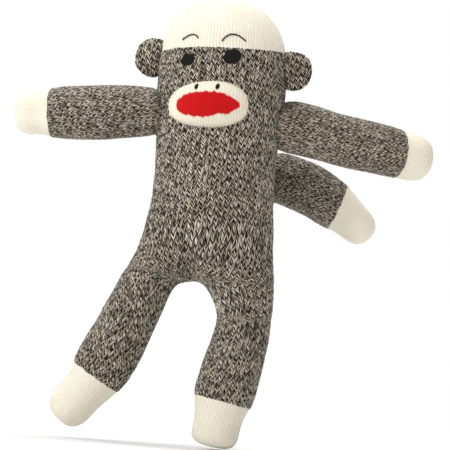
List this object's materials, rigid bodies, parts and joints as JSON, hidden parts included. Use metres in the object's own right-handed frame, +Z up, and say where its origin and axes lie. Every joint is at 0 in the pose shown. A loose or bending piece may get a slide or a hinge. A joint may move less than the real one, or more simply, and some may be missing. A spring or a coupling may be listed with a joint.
{
  "type": "stuffed sock monkey",
  "caption": "Stuffed sock monkey: straight marled trunk, cream crown, hands, feet and tail tip, oval muzzle with red lips, and sewn-on arms, ears and tail that flex at their seams.",
  "frame": {"origin": "middle of the bounding box's bottom, level with the sole of the longer leg", "axes": "+Z up along the trunk, the face looks along -Y, +X towards the toy's own left hand"},
  "size_m": [0.2836, 0.1316, 0.305],
  "materials": {
    "marl_knit": "marled dark brown, grey and oatmeal ragg-wool stocking stitch, matt and slightly fuzzy",
    "cream_knit": "cream cotton and wool fine stocking stitch, matt",
    "cream_yarn": "cream sewing yarn, matt",
    "red_yarn": "bright red knitted patch with vertical ribs, matt",
    "black_yarn": "black embroidery yarn, slight sheen",
    "grey_yarn": "grey-brown sewing yarn, matt",
    "filling": "white polyester fibre filling"
  },
  "bodies": {
    "trunk": {"trunk_sock": "marl_knit", "crown_cap": "cream_knit", "trunk_stuffing": "filling", "crotch_seam": "grey_yarn", "muzzle_cover": "cream_knit", "muzzle_stuffing": "filling", "muzzle_seam": "cream_yarn", "lips": "red_yarn", "left_nostril": "black_yarn", "right_nostril": "black_yarn", "left_eye": "black_yarn", "right_eye": "black_yarn", "left_brow": "black_yarn", "right_brow": "black_yarn"},
    "left_ear": {"left_ear_cover": "marl_knit", "left_ear_stuffing": "filling", "left_ear_seam": "grey_yarn"},
    "left_shoulder": {"left_shoulder_gather": "marl_knit", "left_shoulder_seam": "grey_yarn"},
    "left_arm": {"left_arm_sleeve": "marl_knit", "left_hand": "cream_knit", "left_arm_stuffing": "filling"},
    "left_leg": {"left_leg_sleeve": "marl_knit", "left_foot": "cream_knit", "left_leg_stuffing": "filling", "left_inseam": "grey_yarn"},
    "right_ear": {"right_ear_cover": "marl_knit", "right_ear_stuffing": "filling", "right_ear_seam": "grey_yarn"},
    "right_shoulder": {"right_shoulder_gather": "marl_knit", "right_shoulder_seam": "grey_yarn"},
    "right_arm": {"right_arm_sleeve": "marl_knit", "right_hand": "cream_knit", "right_arm_stuffing": "filling"},
    "right_leg": {"right_leg_sleeve": "marl_knit", "right_foot": "cream_knit", "right_leg_stuffing": "filling", "right_inseam": "grey_yarn"},
    "tail_root": {"tail_gather": "marl_knit", "tail_seam": "grey_yarn"},
    "tail": {"tail_sleeve": "marl_knit", "tail_tip": "cream_knit", "tail_stuffing": "filling"}
  },
  "joints": [
    {"name": "left_ear_fold", "type": "hinge", "parent": "trunk", "child": "left_ear", "pos_m": [0.04689, -0.01405, 0.262], "axis": [0, 0, -1], "range_deg": [-25, 25], "stiffness_Nm_per_rad": 0.02},
    {"name": "right_ear_fold", "type": "hinge", "parent": "trunk", "child": "right_ear", "pos_m": [-0.04991, -0.01405, 0.2668], "axis": [0, 0, 1], "range_deg": [-25, 25], "stiffness_Nm_per_rad": 0.02},
    {"name": "left_arm_swing", "type": "hinge", "parent": "trunk", "child": "left_shoulder", "pos_m": [0.04829, -0.00675, 0.224], "axis": [0, 0, 1], "range_deg": [-55, 15], "stiffness_Nm_per_rad": 0.1},
    {"name": "left_arm_raise", "type": "hinge", "parent": "left_shoulder", "child": "left_arm", "pos_m": [0.04829, -0.00675, 0.224], "axis": [0.4695, -0.8829, 0], "range_deg": [-18, 50], "stiffness_Nm_per_rad": 0.1},
    {"name": "right_arm_swing", "type": "hinge", "parent": "trunk", "child": "right_shoulder", "pos_m": [-0.05039, -0.02835, 0.227], "axis": [0, 0, -1], "range_deg": [-45, 30], "stiffness_Nm_per_rad": 0.1},
    {"name": "right_arm_raise", "type": "hinge", "parent": "right_shoulder", "child": "right_arm", "pos_m": [-0.05039, -0.02835, 0.227], "axis": [-0.0872, 0.9962, 0], "range_deg": [-50, 35], "stiffness_Nm_per_rad": 0.1},
    {"name": "left_leg_swing", "type": "hinge", "parent": "trunk", "child": "left_leg", "pos_m": [0.02249, -0.01605, 0.106], "axis": [-1, 0, 0], "range_deg": [-25, 90], "stiffness_Nm_per_rad": 0.15},
    {"name": "right_leg_swing", "type": "hinge", "parent": "trunk", "child": "right_leg", "pos_m": [-0.04471, -0.01605, 0.106], "axis": [-1, 0, 0], "range_deg": [-25, 90], "stiffness_Nm_per_rad": 0.15},
    {"name": "tail_wag", "type": "hinge", "parent": "trunk", "child": "tail_root", "pos_m": [-0.00151, 0.02745, 0.172], "axis": [0, 0, 1], "range_deg": [0, 55], "stiffness_Nm_per_rad": 0.1},
    {"name": "tail_lift", "type": "hinge", "parent": "tail_root", "child": "tail", "pos_m": [-0.00151, 0.02745, 0.172], "axis": [0, -1, 0], "range_deg": [-30, 20], "stiffness_Nm_per_rad": 0.1}
  ]
}
